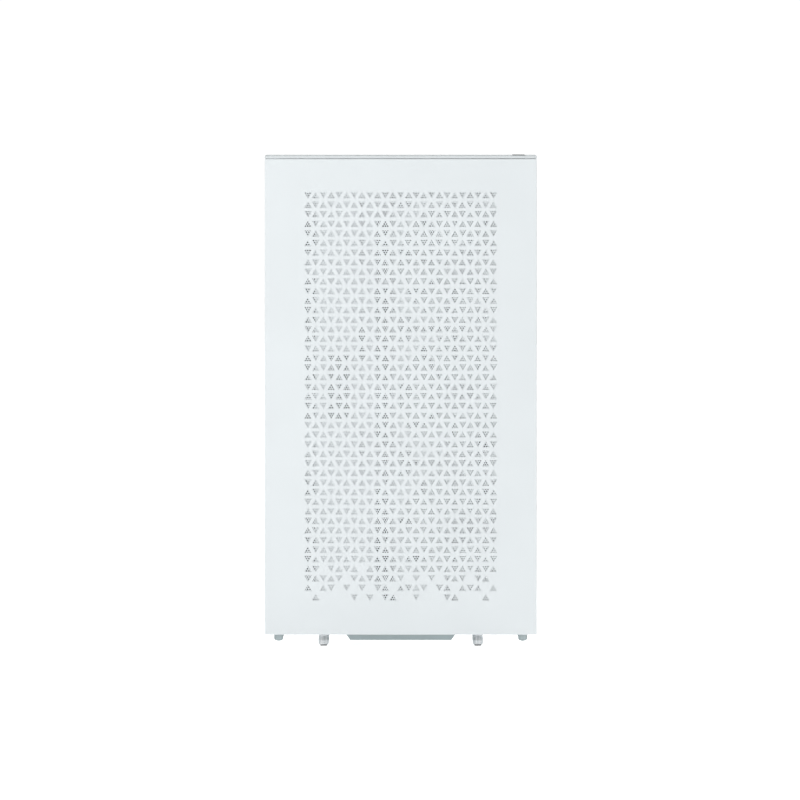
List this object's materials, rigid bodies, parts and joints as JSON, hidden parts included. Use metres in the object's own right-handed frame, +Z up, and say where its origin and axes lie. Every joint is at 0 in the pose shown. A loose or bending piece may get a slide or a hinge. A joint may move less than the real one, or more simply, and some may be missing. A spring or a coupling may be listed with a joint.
{
  "type": "desktop computer tower",
  "caption": "Small vertical desktop computer with triangular punched side panels, a column of side fans, a top power button and slide-out bottom filter.",
  "frame": {"origin": "on the floor under the middle of the case", "axes": "+X to the case's front, -X to the rear sockets, -Y to the left side panel with the fans behind it, +Z up"},
  "size_m": [0.254, 0.2, 0.4588],
  "materials": {
    "white_steel": "fine satin powder coat, cool white",
    "white_mesh": "woven-look perforated nylon sheet, matt white",
    "white_plastic": "moulded, satin white",
    "black_plastic": "moulded, satin black",
    "stud_steel": "turned, bright",
    "chrome": "polished plating",
    "rubber": "matt",
    "dark_plastic": "moulded, satin dark grey",
    "grey_plastic": "moulded, satin mid grey",
    "circuit_board": "solder mask, black",
    "tinned_steel": "stamped, tinned",
    "nickel": "nickel plated copper",
    "aluminium": "bare sheet",
    "dark_metal": "anodised black",
    "cable": "braided black sleeve"
  },
  "bodies": {
    "chassis": {"base_plate": "white_steel", "board_heatsinks": "aluminium", "board_sockets_and_processor": "black_plastic", "cable_cover": "white_steel", "cables_and_fan_hub": "cable", "cooler_fan_frame": "black_plastic", "cooler_fins": "aluminium", "cooler_heatpipes": "nickel", "drives_and_bracket": "dark_metal", "filter_rails": "grey_plastic", "foot_pads": "rubber", "front_frame": "white_steel", "front_io_board": "circuit_board", "front_io_ports": "tinned_steel", "graphics_board": "circuit_board", "graphics_bracket": "tinned_steel", "graphics_heatsink": "aluminium", "graphics_shroud": "black_plastic", "m2_drive": "circuit_board", "main_board": "circuit_board", "memory_modules": "circuit_board", "middle_wall": "white_steel", "panel_sockets": "black_plastic", "psu_case": "dark_metal", "psu_inlet_and_bezel": "black_plastic", "psu_inside": "black_plastic", "rear_fan_frame": "white_plastic", "rear_io_ports": "tinned_steel", "rear_io_shield": "tinned_steel", "rear_wall": "white_steel", "screws": "stud_steel", "side_fan_high_frame": "white_plastic", "side_fan_low_frame": "white_plastic", "side_fan_middle_frame": "white_plastic", "stub_feet": "dark_plastic", "tall_feet": "chrome", "top_plate": "white_steel"},
    "left_panel": {"left_panel": "white_steel", "left_filter": "white_mesh", "left_panel_studs": "stud_steel"},
    "right_panel": {"right_panel": "white_steel", "right_filter": "white_mesh", "right_panel_studs": "stud_steel"},
    "front_panel": {"front_panel": "white_steel", "front_filter": "white_mesh", "front_panel_studs": "stud_steel"},
    "top_cover": {"top_cover": "white_steel", "top_cover_studs": "stud_steel"},
    "filter_tray": {"filter_tray": "grey_plastic", "filter_tray_mesh": "white_mesh"},
    "power_button": {"power_button": "white_steel"},
    "psu_rocker": {"psu_rocker": "black_plastic"},
    "side_fan_low_rotor": {"side_fan_low_rotor": "white_plastic"},
    "side_fan_middle_rotor": {"side_fan_middle_rotor": "white_plastic"},
    "side_fan_high_rotor": {"side_fan_high_rotor": "white_plastic"},
    "rear_fan_rotor": {"rear_fan_rotor": "white_plastic"},
    "cooler_fan_rotor": {"cooler_fan_rotor": "black_plastic"},
    "graphics_rotor_rear": {"graphics_rotor_rear": "black_plastic"},
    "graphics_rotor_front": {"graphics_rotor_front": "black_plastic"},
    "psu_rotor": {"psu_rotor": "black_plastic"}
  },
  "joints": [
    {"name": "left_panel_pull", "type": "slide", "parent": "chassis", "child": "left_panel", "axis": [0, -1, 0], "range_m": [0, 0.2]},
    {"name": "right_panel_pull", "type": "slide", "parent": "chassis", "child": "right_panel", "axis": [0, 1, 0], "range_m": [0, 0.2]},
    {"name": "front_panel_pull", "type": "slide", "parent": "chassis", "child": "front_panel", "axis": [1, 0, 0], "range_m": [0, 0.15]},
    {"name": "top_cover_lift", "type": "slide", "parent": "chassis", "child": "top_cover", "axis": [0, 0, 1], "range_m": [0, 0.1]},
    {"name": "filter_tray_pull", "type": "slide", "parent": "chassis", "child": "filter_tray", "axis": [0, -1, 0], "range_m": [0, 0.16]},
    {"name": "power_button_press", "type": "slide", "parent": "chassis", "child": "power_button", "axis": [0, 0, -1], "range_m": [0, 0.001], "stiffness_N_per_m": 1500},
    {"name": "psu_rocker_tip", "type": "hinge", "parent": "chassis", "child": "psu_rocker", "pos_m": [-0.1168, 0.062, 0.05], "axis": [0, -1, 0], "range_deg": [0, 14]},
    {"name": "side_fan_low_spin", "type": "hinge", "parent": "chassis", "child": "side_fan_low_rotor", "pos_m": [0.0565, -0.075, 0.1085], "axis": [0, 1, 0], "continuous": true},
    {"name": "side_fan_middle_spin", "type": "hinge", "parent": "chassis", "child": "side_fan_middle_rotor", "pos_m": [0.0565, -0.075, 0.2335], "axis": [0, 1, 0], "continuous": true},
    {"name": "side_fan_high_spin", "type": "hinge", "parent": "chassis", "child": "side_fan_high_rotor", "pos_m": [0.0565, -0.075, 0.3585], "axis": [0, 1, 0], "continuous": true},
    {"name": "rear_fan_spin", "type": "hinge", "parent": "chassis", "child": "rear_fan_rotor", "pos_m": [-0.106, 0.037, 0.265], "axis": [1, 0, 0], "continuous": true},
    {"name": "cooler_fan_spin", "type": "hinge", "parent": "chassis", "child": "cooler_fan_rotor", "pos_m": [0, 0.037, 0.265], "axis": [1, 0, 0], "continuous": true},
    {"name": "graphics_rotor_rear_spin", "type": "hinge", "parent": "chassis", "child": "graphics_rotor_rear", "pos_m": [-0.057, 0.012, 0.39], "axis": [0, 0, 1], "continuous": true},
    {"name": "graphics_rotor_front_spin", "type": "hinge", "parent": "chassis", "child": "graphics_rotor_front", "pos_m": [0.035, 0.012, 0.39], "axis": [0, 0, 1], "continuous": true},
    {"name": "psu_spin", "type": "hinge", "parent": "chassis", "child": "psu_rotor", "pos_m": [-0.0688, 0.07, 0.0865], "axis": [0, 1, 0], "continuous": true}
  ]
}
